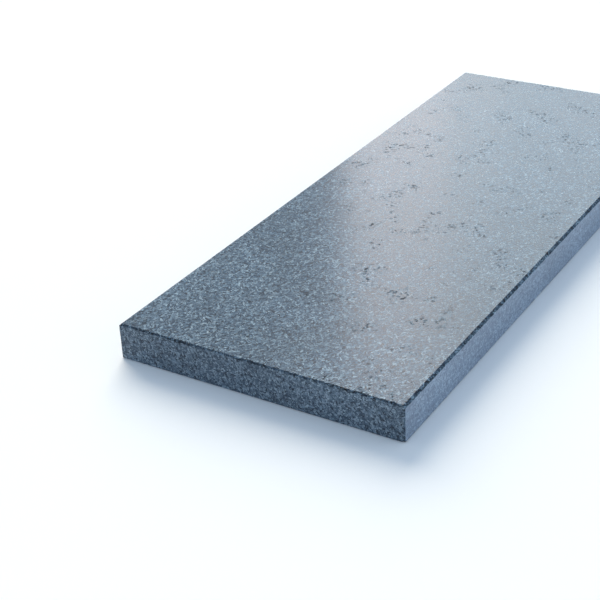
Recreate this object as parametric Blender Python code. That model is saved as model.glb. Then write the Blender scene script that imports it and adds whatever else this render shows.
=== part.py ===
"""Granite work slab for leathercraft: one solid block of stone with ground edges.

The slab lies flat on its underside. X runs along its length, Y across its width, Z up.
The origin is at the centre of the underside. Lengths are in metres.
"""

import bmesh
import bpy
from mathutils import Matrix, Vector

# Driving sizes.
SLAB_LENGTH = 0.600
SLAB_WIDTH = 0.240
SLAB_THICKNESS = 0.030

# Every edge is ground off at 45 degrees. These are the legs, measured along either face.
LONG_TOP_CHAMFER = 0.0020
END_TOP_ARRIS = 0.0010
UPRIGHT_ARRIS = 0.0005
BOTTOM_ARRIS = 0.0008

# Blue-grey granite: linear colour, and how its faces take the light.
GRANITE_COLOUR = (0.13, 0.17, 0.22, 1.0)
GRANITE_ROUGHNESS = 0.3
GRANITE_METALLIC = 0.0


def clear_scene():
    """Remove whatever the open file holds, so that only the slab is left."""
    for old in list(bpy.data.objects):
        bpy.data.objects.remove(old, do_unlink=True)


def granite_material():
    """One material for the whole stone."""
    material = bpy.data.materials.new("granite")
    material.use_nodes = True
    shader = material.node_tree.nodes["Principled BSDF"]
    shader.inputs["Base Color"].default_value = GRANITE_COLOUR
    shader.inputs["Roughness"].default_value = GRANITE_ROUGHNESS
    shader.inputs["Metallic"].default_value = GRANITE_METALLIC
    return material


def squared_block():
    """The slab as sawn, with sharp edges, standing on the origin's plane."""
    block = bmesh.new()
    bmesh.ops.create_cube(block, size=1.0)
    bmesh.ops.scale(block, vec=(SLAB_LENGTH, SLAB_WIDTH, SLAB_THICKNESS), verts=block.verts)
    lift = Matrix.Translation((0.0, 0.0, SLAB_THICKNESS / 2))
    bmesh.ops.transform(block, matrix=lift, verts=block.verts)
    return block


def grind_edge(block, first_face, second_face, leg):
    """Cut one edge back by `leg` along the two faces that meet there.

    Each face is given as (point on it, outward normal).
    """
    (first_point, first_normal), (second_point, second_normal) = first_face, second_face
    # The edge passes through this corner: each point is zero along the other's normal.
    corner = first_point + second_point
    cut = bmesh.ops.bisect_plane(
        block,
        geom=[*block.verts, *block.edges, *block.faces],
        plane_co=corner - leg * first_normal,
        plane_no=(first_normal + second_normal).normalized(),
        clear_outer=True,
    )
    rim = [item for item in cut["geom_cut"] if isinstance(item, bmesh.types.BMEdge)]
    bmesh.ops.contextual_create(block, geom=rim)


def grind_all_edges(block):
    """The two long top edges get the wide chamfer, and the other ten a small arris."""
    along, across, up = Vector((1, 0, 0)), Vector((0, 1, 0)), Vector((0, 0, 1))
    ends = [(side * SLAB_LENGTH / 2 * along, side * along) for side in (-1, 1)]
    long_sides = [(side * SLAB_WIDTH / 2 * across, side * across) for side in (-1, 1)]
    top = (SLAB_THICKNESS * up, up)
    underside = (0 * up, -up)
    for long_side in long_sides:
        grind_edge(block, long_side, top, LONG_TOP_CHAMFER)
        grind_edge(block, long_side, underside, BOTTOM_ARRIS)
        for end in ends:
            grind_edge(block, long_side, end, UPRIGHT_ARRIS)
    for end in ends:
        grind_edge(block, end, top, END_TOP_ARRIS)
        grind_edge(block, end, underside, BOTTOM_ARRIS)


def granite_slab():
    """The finished slab, as one object."""
    block = squared_block()
    grind_all_edges(block)
    bmesh.ops.recalc_face_normals(block, faces=block.faces)
    mesh = bpy.data.meshes.new("granite_slab")
    block.to_mesh(mesh)
    block.free()
    mesh.materials.append(granite_material())
    slab = bpy.data.objects.new("granite_slab", mesh)
    bpy.context.scene.collection.objects.link(slab)
    return slab


clear_scene()
granite_slab()
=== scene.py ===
import math

import bmesh
import bpy
import numpy as np
from mathutils import Matrix, Vector


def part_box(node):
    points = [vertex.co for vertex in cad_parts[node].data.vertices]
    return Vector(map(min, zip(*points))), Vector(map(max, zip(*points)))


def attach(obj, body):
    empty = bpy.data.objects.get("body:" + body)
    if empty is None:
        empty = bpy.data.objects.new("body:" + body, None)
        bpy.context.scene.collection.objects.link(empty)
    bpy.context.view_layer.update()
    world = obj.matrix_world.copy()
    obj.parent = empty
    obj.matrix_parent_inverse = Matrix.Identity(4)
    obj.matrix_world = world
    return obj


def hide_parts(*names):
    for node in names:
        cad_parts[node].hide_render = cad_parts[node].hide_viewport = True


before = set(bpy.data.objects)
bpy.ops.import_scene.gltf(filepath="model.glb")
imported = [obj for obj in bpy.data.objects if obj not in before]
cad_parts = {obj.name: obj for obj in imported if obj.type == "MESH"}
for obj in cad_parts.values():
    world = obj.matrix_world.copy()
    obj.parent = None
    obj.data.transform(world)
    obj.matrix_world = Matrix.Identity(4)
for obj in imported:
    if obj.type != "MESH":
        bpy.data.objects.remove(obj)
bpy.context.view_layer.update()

slabLow, slabHigh = (Vector(corner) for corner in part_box("granite_slab"))
mm = 0.001
noiseReach = (0.25, 0.75)                 # nearly all of a noise's values lie between these


# small helpers for node trees

def addNode(tree, kind, wires=None, **settings):
    node = tree.nodes.new(kind)
    for name, value in settings.items():
        setattr(node, name, value)
    for socket, value in (wires or {}).items():
        if isinstance(value, bpy.types.NodeSocket):
            tree.links.new(value, node.inputs[socket])
        else:
            node.inputs[socket].default_value = value
    return node


def calc(tree, operation, first, second=0.0, third=0.0, clamp=False):
    wires = {0: first, 1: second, 2: third}
    return addNode(tree, "ShaderNodeMath", wires, operation=operation, use_clamp=clamp).outputs[0]


def calcVector(tree, operation, first, second):
    node = addNode(tree, "ShaderNodeVectorMath", {0: first}, operation=operation)
    socket = "Scale" if operation == "SCALE" else 1
    if isinstance(second, bpy.types.NodeSocket):
        tree.links.new(second, node.inputs[socket])
    else:
        node.inputs[socket].default_value = second
    return node.outputs[0]


def rescale(tree, value, fromLow, fromHigh, toLow, toHigh, smooth=False):
    wires = {"Value": value, 1: fromLow, 2: fromHigh, 3: toLow, 4: toHigh}
    kind = "SMOOTHSTEP" if smooth else "LINEAR"
    return addNode(tree, "ShaderNodeMapRange", wires, interpolation_type=kind).outputs[0]


def mixColour(tree, factor, first, second):
    wires = {"Factor": factor, 6: first, 7: second}
    return addNode(tree, "ShaderNodeMix", wires, data_type="RGBA").outputs[2]


def addSocket(tree, name, kind, out=False):
    where = "OUTPUT" if out else "INPUT"
    tree.interface.new_socket(name, in_out=where, socket_type="NodeSocket" + kind)


# the stone itself: crystals that run through the whole slab, so every face cuts them

crystals = {
    "grainSize": 1.9 * mm,
    "lathWidth": 0.95 * mm,
    "lathLength": 3.6 * mm,
    "lathShare": 0.16,                    # share of each lath layer that is pale feldspar
    "lathFade": 2.0,                      # a higher power leaves fewer of the laths bright
    "lathTurns": ((0.3, 0.2, 0.0), (1.4, 0.5, 0.6), (0.7, 1.3, 2.1), (2.2, 0.9, 1.2), (1.1, 2.4, 0.4)),
    "boundaryScale": 420.0,               # wiggles of the crystals' outlines in a metre
    "boundaryWarp": 0.75 * mm,            # how ragged the outlines are
    # what the ground mass is made of, by the share of its crystals, darkest first
    "groundSteps": ((0.0, "darkMineral"), (0.24, "darkMineral"), (0.34, "greyGround"),
                    (0.62, "greyGround"), (0.80, "blueFeldspar"), (0.95, "paleFeldspar")),
    "darkMineral": (0.008, 0.015, 0.026, 1.0),
    "greyGround": (0.030, 0.054, 0.083, 1.0),
    "blueFeldspar": (0.065, 0.104, 0.149, 1.0),
    "paleFeldspar": (0.16, 0.234, 0.305, 1.0),
    "brightLath": (0.322, 0.416, 0.49, 1.0),
    "midTone": 0.1,                       # contrast turns about this brightness
    "hazeAndPaintedReflection": (0.298, 0.362, 0.48, 1.0),    # fine scratches of a satin face scatter this; its pale blue is also painted reflection
    "streakScale": 1900.0,                # cleavage streaks in a metre
    "streakStretch": (1.0, 0.45, 1.6),    # below one draws them out along that axis
    "streakTone": (0.75, 1.25),
    "cloudSize": 60 * mm,
    "cloudReach": (0.3, 0.7),             # noise levels of the darkest and the palest cloud
    "cloudTone": (0.82, 1.18),
    "clusterSize": 26 * mm,
    "clusterEdge": (0.51, 0.66),          # noise levels where a cluster starts and where it is full
    "softShare": 0.21,                    # share of the ground mass that can take a poor polish
}


def buildCrystalGroup():
    tree = bpy.data.node_groups.new("graniteCrystals", "ShaderNodeTree")
    addSocket(tree, "Brightness", "Float")
    addSocket(tree, "Contrast", "Float")
    addSocket(tree, "Haze And Painted Reflection", "Float")
    addSocket(tree, "Colour", "Color", out=True)
    addSocket(tree, "Dark Mineral", "Float", out=True)
    addSocket(tree, "Soft Mineral", "Float", out=True)
    addSocket(tree, "Relief", "Float", out=True)
    wiresIn = addNode(tree, "NodeGroupInput")
    place = addNode(tree, "ShaderNodeTexCoord").outputs["Object"]

    ragged = addNode(tree, "ShaderNodeTexNoise",
                     {"Vector": place, "Scale": crystals["boundaryScale"], "Detail": 2.0})
    centred = calcVector(tree, "SUBTRACT", ragged.outputs["Color"], (0.5, 0.5, 0.5))
    shift = calcVector(tree, "SCALE", centred, crystals["boundaryWarp"] * 2)
    warped = calcVector(tree, "ADD", place, shift)

    # ground mass of dark minerals and blue-grey feldspar
    ground = addNode(tree, "ShaderNodeTexVoronoi",
                     {"Vector": warped, "Scale": 1 / crystals["grainSize"]})
    kind, shade = addNode(tree, "ShaderNodeSeparateColor",
                          {"Color": ground.outputs["Color"]}).outputs[:2]
    ramp = addNode(tree, "ShaderNodeValToRGB", {"Fac": kind})
    steps = crystals["groundSteps"]
    while len(ramp.color_ramp.elements) < len(steps):
        ramp.color_ramp.elements.new(1.0)
    for element, (position, name) in zip(ramp.color_ramp.elements, steps):
        element.position = position
        element.color = crystals[name]
    colour = ramp.outputs["Color"]
    relief = shade

    # pale laths lying every way through the ground mass
    wide = 1 / crystals["lathWidth"]
    long = 1 / crystals["lathLength"]
    for turn in crystals["lathTurns"]:
        turned = addNode(tree, "ShaderNodeVectorRotate", {"Vector": warped, "Rotation": turn},
                         rotation_type="EULER_XYZ").outputs[0]
        cells = addNode(tree, "ShaderNodeTexVoronoi",
                        {"Vector": calcVector(tree, "MULTIPLY", turned, (wide, wide, long)),
                         "Scale": 1.0})
        pick, glow, lean = addNode(tree, "ShaderNodeSeparateColor",
                                   {"Color": cells.outputs["Color"]}).outputs[:3]
        mask = calc(tree, "LESS_THAN", pick, crystals["lathShare"])
        pale = mixColour(tree, calc(tree, "POWER", glow, crystals["lathFade"]),
                         crystals["blueFeldspar"], crystals["brightLath"])
        colour = mixColour(tree, mask, colour, pale)
        relief = addNode(tree, "ShaderNodeMix", {0: mask, 2: relief, 3: lean}).outputs[0]

    # cleavage streaks inside the crystals, and slow cloudiness across the slab
    streaks = addNode(tree, "ShaderNodeTexNoise",
                      {"Vector": calcVector(tree, "MULTIPLY", warped, crystals["streakStretch"]),
                       "Scale": crystals["streakScale"], "Detail": 2.0}).outputs["Fac"]
    clouds = addNode(tree, "ShaderNodeTexNoise",
                     {"Vector": place, "Scale": 1 / crystals["cloudSize"], "Detail": 4.0}).outputs["Fac"]
    tone = calc(tree, "MULTIPLY", rescale(tree, streaks, *noiseReach, *crystals["streakTone"]),
                rescale(tree, clouds, *crystals["cloudReach"], *crystals["cloudTone"]))
    tone = calc(tree, "MULTIPLY", tone, wiresIn.outputs["Brightness"])

    # the finish's own contrast, turned about the mid tone
    relative = calcVector(tree, "SCALE", colour, 1 / crystals["midTone"])
    sharpened = addNode(tree, "ShaderNodeGamma",
                        {"Color": relative, "Gamma": wiresIn.outputs["Contrast"]}).outputs[0]
    tone = calc(tree, "MULTIPLY", tone, crystals["midTone"])
    colour = calcVector(tree, "SCALE", sharpened, tone)
    # mix toward the pale blue haze: partly satin scatter, partly painted reflection of blue light
    colour = mixColour(tree, wiresIn.outputs["Haze And Painted Reflection"], colour, crystals["hazeAndPaintedReflection"])

    # minerals that take a poor polish sit in loose clusters
    clusters = addNode(tree, "ShaderNodeTexNoise",
                       {"Vector": place, "Scale": 1 / crystals["clusterSize"],
                        "Detail": 3.0}).outputs["Fac"]
    clustered = rescale(tree, clusters, *crystals["clusterEdge"], 0.0, 1.0, smooth=True)
    soft = calc(tree, "MULTIPLY", calc(tree, "LESS_THAN", kind, crystals["softShare"]), clustered)
    level = addNode(tree, "ShaderNodeSeparateColor", {"Color": colour}).outputs["Green"]
    darkGreen, paleGreen = (crystals[name][1] for name in ("darkMineral", "paleFeldspar"))
    dark = rescale(tree, level, darkGreen, paleGreen, 1.0, 0.0)

    addNode(tree, "NodeGroupOutput",
            {"Colour": colour, "Dark Mineral": dark, "Soft Mineral": soft, "Relief": relief})
    return tree


# one material for each finish the mason left on the stone; some carry painted shade and painted
# reflection, noted at each

finishes = {
    "polished": {"brightness": 0.74, "contrast": 1.12, "hazeAndPaintedReflection": 0.0, "roughness": 0.18,
                 "softRoughness": 0.26, "relief": 0.003 * mm, "coat": 1.0, "ior": 1.42},
    # honed sides: paler, partly the scatter of a satin face and partly painted reflection of blue light
    "honed": {"brightness": 1.15, "contrast": 1.0, "hazeAndPaintedReflection": 0.4, "roughness": 0.34,
              "softRoughness": 0.1, "relief": 0.01 * mm, "coat": 0.0, "ior": 1.54},
    # ground arrises: darkened as painted shade, where they turn away from the light
    "ground": {"brightness": 0.42, "contrast": 1.45, "hazeAndPaintedReflection": 0.0, "roughness": 0.85,
               "softRoughness": 0.1, "relief": 0.06 * mm, "coat": 0.0, "ior": 1.54},
    "sawn": {"brightness": 0.89, "contrast": 1.0, "hazeAndPaintedReflection": 0.05, "roughness": 0.7,
             "softRoughness": 0.1, "relief": 0.10 * mm, "coat": 0.0, "ior": 1.54},
    # broken chips: darkened as painted shade; fresh breaks in granite are paler
    "broken": {"brightness": 0.45, "contrast": 1.0, "hazeAndPaintedReflection": 0.0, "roughness": 0.8,
               "softRoughness": 0.1, "relief": 0.10 * mm, "coat": 0.0, "ior": 1.54},
}


def buildFinish(name, crystalGroup):
    look = finishes[name]
    material = bpy.data.materials.new(name + "Granite")
    material.use_nodes = True
    tree = material.node_tree
    shader = tree.nodes["Principled BSDF"]
    stone = addNode(tree, "ShaderNodeGroup", node_tree=crystalGroup)
    stone.inputs["Brightness"].default_value = look["brightness"]
    stone.inputs["Contrast"].default_value = look["contrast"]
    stone.inputs["Haze And Painted Reflection"].default_value = look["hazeAndPaintedReflection"]
    tree.links.new(stone.outputs["Colour"], shader.inputs["Base Color"])
    rough = calc(tree, "MULTIPLY_ADD", stone.outputs["Soft Mineral"], look["softRoughness"],
                 look["roughness"])
    tree.links.new(rough, shader.inputs["Roughness"])
    bump = addNode(tree, "ShaderNodeBump",
                   {"Height": stone.outputs["Relief"], "Distance": look["relief"], "Strength": 1.0})
    tree.links.new(bump.outputs["Normal"], shader.inputs["Normal"])
    shader.inputs["IOR"].default_value = look["ior"]
    if look["coat"]:                      # dark minerals take the brighter polish, soft ones none
        gloss = calc(tree, "SUBTRACT", stone.outputs["Dark Mineral"], stone.outputs["Soft Mineral"],
                     clamp=True)
        gloss = calc(tree, "MULTIPLY", gloss, look["coat"])
        tree.links.new(gloss, shader.inputs["Coat Weight"])
        shader.inputs["Coat Roughness"].default_value = look["roughness"]
    return material


crystalGroup = buildCrystalGroup()
stoneFinish = {name: buildFinish(name, crystalGroup) for name in finishes}
print("stone: crystals and finishes made")

# the slab: a squared block with sawn ends, ground arrises and chips broken out along its edges

slabShape = {
    "endStep": 1.0 * mm,                  # spacing of the points across a sawn end
    "edgeStep": 1.5 * mm,                 # and along the long edges
    "wanderSize": 2.6 * mm,               # length of one waver of an edge line
    "wear": 1.0,                          # scales all of the straying below
    # how far the saw and the grinder strayed, by the kind of face
    "stray": {"end": 0.05 * mm, "endTop": 0.28 * mm, "endBottom": 0.18 * mm, "longTop": 0.07 * mm,
              "longBottom": 0.15 * mm, "upright": 0.12 * mm},
    "finish": {"top": "polished", "underside": "sawn", "side": "honed", "end": "sawn"},
    "mapGap": 6 * mm,                     # bare strip between the sides on the bake map
    "mapBias": (1.0, 1.2, 1.5),           # an arris goes with the top or underside, else with a long side
}

edgeChips = {
    "spacing": 0.8 * mm,                  # places along an edge where a chip may sit
    "seed": 4,
    "jitter": 0.12 * mm,
    # by the kind of edge: share of the places that chipped, and a chip's usual half-length
    "share": {"endTop": 0.26, "endBottom": 0.07, "longTop": 0.012, "longBottom": 0.03, "upright": 0.05},
    "size": {"endTop": 0.95 * mm, "endBottom": 0.95 * mm, "longTop": 0.55 * mm,
             "longBottom": 0.9 * mm, "upright": 0.6 * mm},
    # its length, width and depth run from the least to the most, as multiples of that size
    "least": (0.6, 0.35, 0.35),
    "most": (1.7, 0.85, 0.85),
    "tilt": 0.4,                          # how far it leans off the edge, in radians
    "facets": (8, 5),                     # sides and rings of the ball that each chip starts from
    "draws": {"turn": 11, "pick": 5, "scale": 7, "place": 3},    # what each adds to the seed
}

# larger knocks from handling
knocks = {
    "unevenness": 0.12,
    # place as shares of length, width and thickness, then half-sizes
    "spots": (
        ((0.0, 0.0, 0.0), (2.6 * mm, 3.2 * mm, 2.0 * mm)),
        ((0.0, 0.20, 1.0), (1.3 * mm, 1.7 * mm, 0.9 * mm)),
        ((0.0, 0.92, 1.0), (1.0 * mm, 3.0 * mm, 0.8 * mm)),
        ((0.0, 0.74, 1.0), (0.9 * mm, 2.2 * mm, 0.7 * mm)),
        ((0.0, 0.19, 0.0), (1.2 * mm, 2.8 * mm, 1.0 * mm)),
        ((1.0, 0.66, 1.0), (1.1 * mm, 2.4 * mm, 0.9 * mm)),
        ((1.0, 1.0, 0.0), (2.2 * mm, 1.8 * mm, 2.4 * mm)),
        ((0.38, 1.0, 0.0), (2.6 * mm, 1.0 * mm, 1.1 * mm)),
    ),
}

limits = {
    "turned": 0.3,                        # part of a normal past which a face is turned to that axis
    "along": 0.99,                        # share of an edge's length that lies along its axis
    "flat": 0.999,                        # how squarely a flat face looks along its axis
    "end": 0.8,                           # and a face of a sawn end, which may stray a little
    "level": math.radians(1),             # faces that meet at less than this are one
    "weld": 0.001 * mm,                   # points nearer than this are one
    "sliver": 0.0002 * mm,                # and edges shorter than this are closed up after the cut
}


def turnedTo(normal):
    return [abs(part) > limits["turned"] for part in normal]


def faceKind(normal):
    axes = turnedTo(normal)
    if sum(axes) == 1:
        return ("end", "side", "top" if normal.z > 0 else "underside")[axes.index(True)]
    if not axes[2]:
        return "upright"
    return ("end" if axes[0] else "long") + ("Top" if normal.z > 0 else "Bottom")


def runsAlong(edge, axis):
    run = edge.verts[1].co - edge.verts[0].co
    return abs(run[axis]) > limits["along"] * run.length


def readBlock():
    block = bmesh.new()
    block.from_mesh(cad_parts["granite_slab"].data)
    bmesh.ops.remove_doubles(block, verts=block.verts, dist=limits["weld"])
    bmesh.ops.dissolve_limit(block, angle_limit=limits["level"], verts=block.verts, edges=block.edges)
    return block


def divideEdges(block, edges, step):
    cuts = round(max(edge.calc_length() for edge in edges) / step) - 1
    bmesh.ops.subdivide_edges(block, edges=edges, cuts=cuts, use_grid_fill=True)


def mergeFlats(block):
    for normal in (Vector((0, 0, 1)), Vector((0, 0, -1)), Vector((0, 1, 0)), Vector((0, -1, 0))):
        flat = [face for face in block.faces if face.normal.dot(normal) > limits["flat"]]
        bmesh.ops.dissolve_faces(block, faces=flat)


def divideBlock(block):
    # fine points only where the edges waver and across the ends; top, underside and sides stay whole
    for axis, step in ((0, slabShape["edgeStep"]), (1, slabShape["endStep"]), (2, slabShape["endStep"])):
        edges = [edge for edge in block.edges if runsAlong(edge, axis)]
        divideEdges(block, edges, step)
        mergeFlats(block)


def markStray(block):
    # each point may stray only within the flat faces beside it, so those stay flat
    stray = block.verts.layers.float_vector.new("stray")
    for point in block.verts:
        kinds = {faceKind(face.normal): face.normal for face in point.link_faces}
        mains = [kind for kind in kinds if kind in slabShape["finish"]]
        bevels = [kind for kind in kinds if kind not in slabShape["finish"]]
        if mains == ["end"] and not bevels:
            point[stray] = (slabShape["stray"]["end"], 0, 0)
        if len(mains) == 1 and len(bevels) == 1:
            across = turnedTo(kinds[bevels[0]])
            level = turnedTo(kinds[mains[0]])
            size = slabShape["stray"][bevels[0]]
            point[stray] = [size if a and not b else 0 for a, b in zip(across, level)]


def newObject(name, mesh):
    thing = bpy.data.objects.new(name, mesh)
    bpy.context.scene.collection.objects.link(thing)
    return thing


def newTree(name):
    tree = bpy.data.node_groups.new(name, "GeometryNodeTree")
    addSocket(tree, "Geometry", "Geometry")
    addSocket(tree, "Geometry", "Geometry", out=True)
    return tree


def growPiece(thing, tree, settings):
    modifier = thing.modifiers.new(tree.name, "NODES")
    modifier.node_group = tree
    for socket in tree.interface.items_tree:
        if socket.in_out == "INPUT" and socket.name in settings:
            modifier[socket.identifier] = settings[socket.name]


def plainMesh(thing):
    evaluated = thing.evaluated_get(bpy.context.evaluated_depsgraph_get())
    mesh = bpy.data.meshes.new_from_object(evaluated)
    thing.modifiers.clear()
    return mesh


def wornBlockTree():
    # every marked point strays with the noise at its place, then the finishes go on
    tree = newTree("wornBlock")
    addSocket(tree, "Waver Size", "Float")
    addSocket(tree, "Wear", "Float")
    given = addNode(tree, "NodeGroupInput").outputs
    stray = addNode(tree, "GeometryNodeInputNamedAttribute", {"Name": "stray"}, data_type="FLOAT_VECTOR")
    noise = addNode(tree, "ShaderNodeTexNoise",
                    {"Scale": calc(tree, "DIVIDE", 1.0, given["Waver Size"]), "Detail": 3.0,
                     "Roughness": 0.7})
    swing = rescale(tree, noise.outputs["Fac"], *noiseReach, -1.0, 1.0)
    swing = calc(tree, "MULTIPLY", swing, given["Wear"])
    offset = calcVector(tree, "SCALE", stray.outputs[0], swing)
    moved = addNode(tree, "GeometryNodeSetPosition", {"Geometry": given["Geometry"], "Offset": offset})
    body = addNode(tree, "GeometryNodeRealizeInstances", {"Geometry": moved.outputs[0]}).outputs[0]
    finish = addNode(tree, "GeometryNodeInputNamedAttribute", {"Name": "finish"}, data_type="INT")
    for index, material in enumerate(stoneFinish.values()):
        chosen = addNode(tree, "FunctionNodeCompare", {2: finish.outputs[0], 3: index},
                         data_type="INT", operation="EQUAL").outputs[0]
        body = addNode(tree, "GeometryNodeSetMaterial",
                       {"Geometry": body, "Selection": chosen, "Material": material}).outputs[0]
    addNode(tree, "NodeGroupOutput", {"Geometry": body})
    return tree


def edgeChipTree():
    # low, lens-like chips at random places along the edge lines
    tree = newTree("edgeChips")
    addSocket(tree, "Spacing", "Float")
    addSocket(tree, "Jitter", "Float")
    addSocket(tree, "Seed", "Int")
    addSocket(tree, "Least", "Vector")
    addSocket(tree, "Most", "Vector")
    given = addNode(tree, "NodeGroupInput").outputs

    def scatter(draw, kind, low, high):
        seed = calc(tree, "ADD", given["Seed"], edgeChips["draws"][draw])
        sockets = {"FLOAT": (2, 3), "FLOAT_VECTOR": (0, 1)}[kind]
        node = addNode(tree, "FunctionNodeRandomValue",
                       {sockets[0]: low, sockets[1]: high, "Seed": seed}, data_type=kind)
        return node.outputs[1 if kind == "FLOAT" else 0]

    lines = addNode(tree, "GeometryNodeMeshToCurve", {"Mesh": given["Geometry"]})
    places = addNode(tree, "GeometryNodeResampleCurve",
                     {"Curve": lines.outputs[0], "Length": given["Spacing"]}, mode="LENGTH")
    run = addNode(tree, "GeometryNodeInputTangent").outputs[0]
    along = addNode(tree, "FunctionNodeAlignRotationToVector", {"Vector": run}, axis="X")
    tilt = edgeChips["tilt"]
    spin = addNode(tree, "FunctionNodeEulerToRotation",
                   {"Euler": scatter("turn", "FLOAT_VECTOR", (0, -tilt, -tilt), (math.tau, tilt, tilt))})
    turn = addNode(tree, "FunctionNodeRotateRotation",
                   {0: along.outputs[0], 1: spin.outputs[0]}, rotation_space="LOCAL")
    share = addNode(tree, "GeometryNodeInputNamedAttribute", {"Name": "share"}, data_type="FLOAT")
    size = addNode(tree, "GeometryNodeInputNamedAttribute", {"Name": "size"}, data_type="FLOAT")
    chipped = addNode(tree, "FunctionNodeCompare",
                      {0: scatter("pick", "FLOAT", 0.0, 1.0), 1: share.outputs[0]},
                      data_type="FLOAT", operation="LESS_THAN").outputs[0]
    shape = scatter("scale", "FLOAT_VECTOR", given["Least"], given["Most"])
    scale = calcVector(tree, "SCALE", shape, size.outputs[0])
    aside = scatter("place", "FLOAT_VECTOR", (-1, -1, -1), (1, 1, 1))
    loose = addNode(tree, "GeometryNodeSetPosition",
                    {"Geometry": places.outputs[0],
                     "Offset": calcVector(tree, "SCALE", aside, given["Jitter"])})
    segments, rings = edgeChips["facets"]
    chip = addNode(tree, "GeometryNodeMeshUVSphere",
                   {"Segments": segments, "Rings": rings, "Radius": 1.0})
    chips = addNode(tree, "GeometryNodeInstanceOnPoints",
                    {"Points": loose.outputs[0], "Selection": chipped, "Instance": chip.outputs[0],
                     "Rotation": turn.outputs[0], "Scale": scale})
    body = addNode(tree, "GeometryNodeRealizeInstances", {"Geometry": chips.outputs[0]})
    # the chips take the broken finish, darkened as painted shade
    body = addNode(tree, "GeometryNodeSetMaterial",
                   {"Geometry": body.outputs[0], "Material": stoneFinish["broken"]})
    addNode(tree, "NodeGroupOutput", {"Geometry": body.outputs[0]})
    return tree


def chipLines(block):
    # the lines where a flat face meets an arris, each with its share and size of chips
    lines = bmesh.new()
    share = lines.verts.layers.float.new("share")
    size = lines.verts.layers.float.new("size")
    for edge in block.edges:
        kinds = [faceKind(face.normal) for face in edge.link_faces]
        bevels = [kind for kind in kinds if kind not in slabShape["finish"]]
        if len(bevels) == 1:
            ends = [lines.verts.new(point.co) for point in edge.verts]
            for end in ends:
                end[share] = edgeChips["share"][bevels[0]]
                end[size] = edgeChips["size"][bevels[0]]
            lines.edges.new(ends)
    mesh = bpy.data.meshes.new("chipLines")
    lines.to_mesh(mesh)
    lines.free()
    return mesh


def addKnocks(chips):
    # the larger knocks join the chips, so that one cut takes them all out
    shape = bmesh.new()
    shape.from_mesh(chips)
    rng = np.random.default_rng(edgeChips["seed"])
    # the knocks take the broken finish too, darkened as painted shade
    broken = chips.materials.find(stoneFinish["broken"].name)
    extent = slabHigh - slabLow
    for place, size in knocks["spots"]:
        spot = Vector([low + share * run for low, share, run in zip(slabLow, place, extent)])
        made = bmesh.ops.create_icosphere(shape, subdivisions=2, radius=1.0)["verts"]
        for point in made:
            swell = 1 + knocks["unevenness"] * rng.standard_normal()
            point.co = spot + Vector([part * half * swell for part, half in zip(point.co, size)])
            for face in point.link_faces:
                face.material_index = broken
    shape.to_mesh(chips)
    shape.free()


def keepLargestBody(mesh):
    # the cut can set small crumbs free, which are swept away
    shape = bmesh.new()
    shape.from_mesh(mesh)
    left = set(shape.verts)
    bodies = []
    while left:
        body = {left.pop()}
        toFollow = list(body)
        while toFollow:
            point = toFollow.pop()
            for edge in point.link_edges:
                other = edge.other_vert(point)
                if other not in body:
                    body.add(other)
                    toFollow.append(other)
        left -= body
        bodies.append(body)
    bodies.sort(key=len)
    for crumb in bodies[:-1]:
        bmesh.ops.delete(shape, geom=list(crumb), context="VERTS")
    bmesh.ops.dissolve_degenerate(shape, dist=limits["sliver"], edges=shape.edges)
    shape.to_mesh(mesh)
    openEdges = sum(not edge.is_manifold for edge in shape.edges)
    shape.free()
    return len(bodies) - 1, openEdges


def layMap(mesh):
    # the bake map lays the six sides out as flat sheets at one scale
    gap = slabShape["mapGap"]
    length, width, thick = slabHigh - slabLow
    side = length + 2 * gap
    rows = {"top": 0.0, "underside": width, "near": 2 * width, "far": 2 * width + thick,
            "ends": 2 * (width + thick)}
    middle = (slabLow + slabHigh) / 2
    layer = mesh.uv_layers.new(name="OFBake")
    for face in mesh.polygons:
        weights = [abs(part) * bias for part, bias in zip(face.normal, slabShape["mapBias"])]
        axis = weights.index(max(weights))
        low = face.center[axis] < middle[axis]
        row = ("ends", "near" if low else "far", "underside" if low else "top")[axis]
        across, up = ((1, 2), (0, 2), (0, 1))[axis]
        rowGaps = list(rows).index(row) + 1
        start = Vector((gap, rows[row] + rowGaps * gap))
        if axis == 0 and not low:
            start.x += width + gap
        for corner in face.loop_indices:
            spot = mesh.vertices[mesh.loops[corner].vertex_index].co - slabLow
            layer.data[corner].uv = (start + Vector((spot[across], spot[up]))) / side
    layer.active = layer.active_render = True


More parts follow.
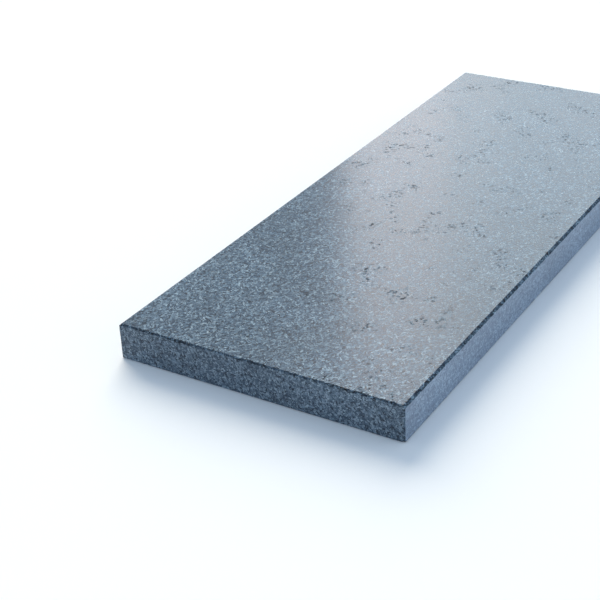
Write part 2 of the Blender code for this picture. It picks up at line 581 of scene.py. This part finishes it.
def buildSlab():
    block = readBlock()
    lines = chipLines(block)
    divideBlock(block)
    markStray(block)
    finish = block.faces.layers.int.new("finish")
    names = list(finishes)
    for face in block.faces:
        # faces not named in the finish table are arrises and take the ground finish, darkened as painted
        # shade
        face[finish] = names.index(slabShape["finish"].get(faceKind(face.normal), "ground"))
    mesh = bpy.data.meshes.new("block")
    block.to_mesh(mesh)
    block.free()
    for material in stoneFinish.values():
        mesh.materials.append(material)

    slab = newObject("block", mesh)
    growPiece(slab, wornBlockTree(),
              {"Waver Size": slabShape["wanderSize"], "Wear": slabShape["wear"]})
    slab.data = plainMesh(slab)
    chips = newObject("chips", lines)
    growPiece(chips, edgeChipTree(),
              {"Spacing": edgeChips["spacing"], "Jitter": edgeChips["jitter"], "Seed": edgeChips["seed"],
               "Least": edgeChips["least"], "Most": edgeChips["most"]})
    chips.data = plainMesh(chips)
    addKnocks(chips.data)
    print("slab: block of", len(slab.data.polygons), "faces,", len(chips.data.polygons), "chip faces")

    cut = slab.modifiers.new("chips", "BOOLEAN")
    cut.object = chips
    cut.operation = "DIFFERENCE"
    cut.solver = "EXACT"
    cut.use_self = True
    cut.material_mode = "TRANSFER"
    mesh = plainMesh(slab)
    for used in (slab, chips):
        bpy.data.objects.remove(used)
    crumbs, openEdges = keepLargestBody(mesh)
    sawn = mesh.materials.find(stoneFinish["sawn"].name)
    for face in mesh.polygons:
        face.use_smooth = abs(face.normal.x) > limits["end"] and face.material_index == sawn
    layMap(mesh)
    mesh.name = "slabStone"
    piece = newObject("slab_stone", mesh)
    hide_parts("granite_slab")
    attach(piece, "root")
    mesh.calc_loop_triangles()
    print("slab:", len(mesh.loop_triangles), "triangles,", crumbs, "crumbs dropped,",
          openEdges, "open edges")


buildSlab()

# floor, light and camera

studio = {
    "floorRadius": 30.0,
    "floorSides": 96,
    "floorColour": (0.90, 0.92, 0.94, 1.0),
    "floorRoughness": 0.9,
    "airColour": (0.44, 0.54, 0.66, 1.0),
    # wide soft lights that no surface mirrors: headings, heights and softness in degrees
    "suns": {
        "keyLight": {"heading": 42, "height": 24, "softness": 50, "strength": 4.6,
                     "colour": (1.0, 0.90, 0.73)},
        "sideFill": {"heading": 285, "height": 14, "softness": 60, "strength": 0.8,
                     "colour": (0.72, 0.86, 1.0)},
    },
    # the softbox stands on edge; all of its sheets are placed from the foot of its left edge
    "panelEdge": Vector((1.60, 1.03, 0.45)),
    "panelRun": 290.0,                    # heading from that edge along the softbox
    "panelHeight": 1.15,
    "stripWidth": 0.12,
    # glow of its strips from that edge on: warm and bright first, then cooler and weaker
    "strips": ((1.98, 1.84, 1.81), (1.88, 1.78, 1.76), (1.36, 1.42, 1.45), (1.14, 1.25, 1.31),
               (1.12, 1.23, 1.30), (1.12, 1.23, 1.30), (1.12, 1.23, 1.30)),
    # a weak sheet beside the top of the left edge, where the softbox leaks
    "leak": {"width": 0.20, "foot": 0.83, "height": 0.32, "glow": (0.46, 0.44, 0.43)},
}


def buildFloor():
    shape = bmesh.new()
    bmesh.ops.create_circle(shape, cap_ends=True, segments=studio["floorSides"],
                            radius=studio["floorRadius"])
    mesh = bpy.data.meshes.new("floor")
    shape.to_mesh(mesh)
    shape.free()
    paper = bpy.data.materials.new("paleFloor")
    paper.use_nodes = True
    shader = paper.node_tree.nodes["Principled BSDF"]
    shader.inputs["Base Color"].default_value = studio["floorColour"]
    shader.inputs["Roughness"].default_value = studio["floorRoughness"]
    shader.inputs["Specular IOR Level"].default_value = 0.0
    mesh.materials.append(paper)
    newObject("floor", mesh)


def aim(thing, direction, roll=0.0):
    turn = direction.to_track_quat("-Z", "Y").to_matrix() @ Matrix.Rotation(roll, 3, "Z")
    thing.rotation_euler = turn.to_euler()


def headingVector(heading, height):
    heading, height = math.radians(heading), math.radians(height)
    flat = math.cos(height)
    return Vector((math.cos(heading) * flat, math.sin(heading) * flat, math.sin(height)))


def hangSheet(start, width, foot, height, glow):
    # one upright glowing sheet of the softbox, placed from the foot of its left edge
    run = headingVector(studio["panelRun"], 0.0)
    light = bpy.data.lights.new("softbox", "AREA")
    light.shape = "RECTANGLE"
    light.size, light.size_y = width, height
    light.energy = width * height * math.pi
    light.color = glow
    sheet = newObject("softbox", light)
    sheet.location = studio["panelEdge"] + run * (start + width / 2) + Vector((0, 0, foot + height / 2))
    aim(sheet, run.cross(Vector((0, 0, 1))))
    sheet.visible_camera = False


def buildLights():
    world = bpy.data.worlds.new("studioAir")
    world.use_nodes = True
    world.node_tree.nodes["Background"].inputs["Color"].default_value = studio["airColour"]
    bpy.context.scene.world = world
    for name, look in studio["suns"].items():
        sun = bpy.data.lights.new(name, "SUN")
        sun.energy = look["strength"]
        sun.color = look["colour"]
        sun.angle = math.radians(look["softness"])
        lamp = newObject(name, sun)
        aim(lamp, -headingVector(look["heading"], look["height"]))
        lamp.visible_glossy = False

    width = studio["stripWidth"]
    for index, glow in enumerate(studio["strips"]):
        hangSheet(width * index, width, 0.0, studio["panelHeight"], glow)
    leak = studio["leak"]
    hangSheet(-leak["width"], leak["width"], leak["foot"], leak["height"], leak["glow"])


viewpoint = {
    "place": Vector((-0.9821, -0.4753, 0.5409)),
    "heading": 32.47,
    "down": 29.09,
    "roll": -2.64,
    "lens": 82.9,
    "sensor": 36.0,
    "nearest": 0.01,
}


def buildCamera():
    lens = bpy.data.cameras.new("camera")
    lens.lens = viewpoint["lens"]
    lens.sensor_width = viewpoint["sensor"]
    lens.clip_start = viewpoint["nearest"]
    camera = newObject("camera", lens)
    camera.location = viewpoint["place"]
    aim(camera, headingVector(viewpoint["heading"], -viewpoint["down"]), math.radians(viewpoint["roll"]))
    bpy.context.scene.camera = camera


buildFloor()
buildLights()
buildCamera()
bpy.context.scene.view_settings.view_transform = "Standard"
print("studio: floor, lights and camera in place")
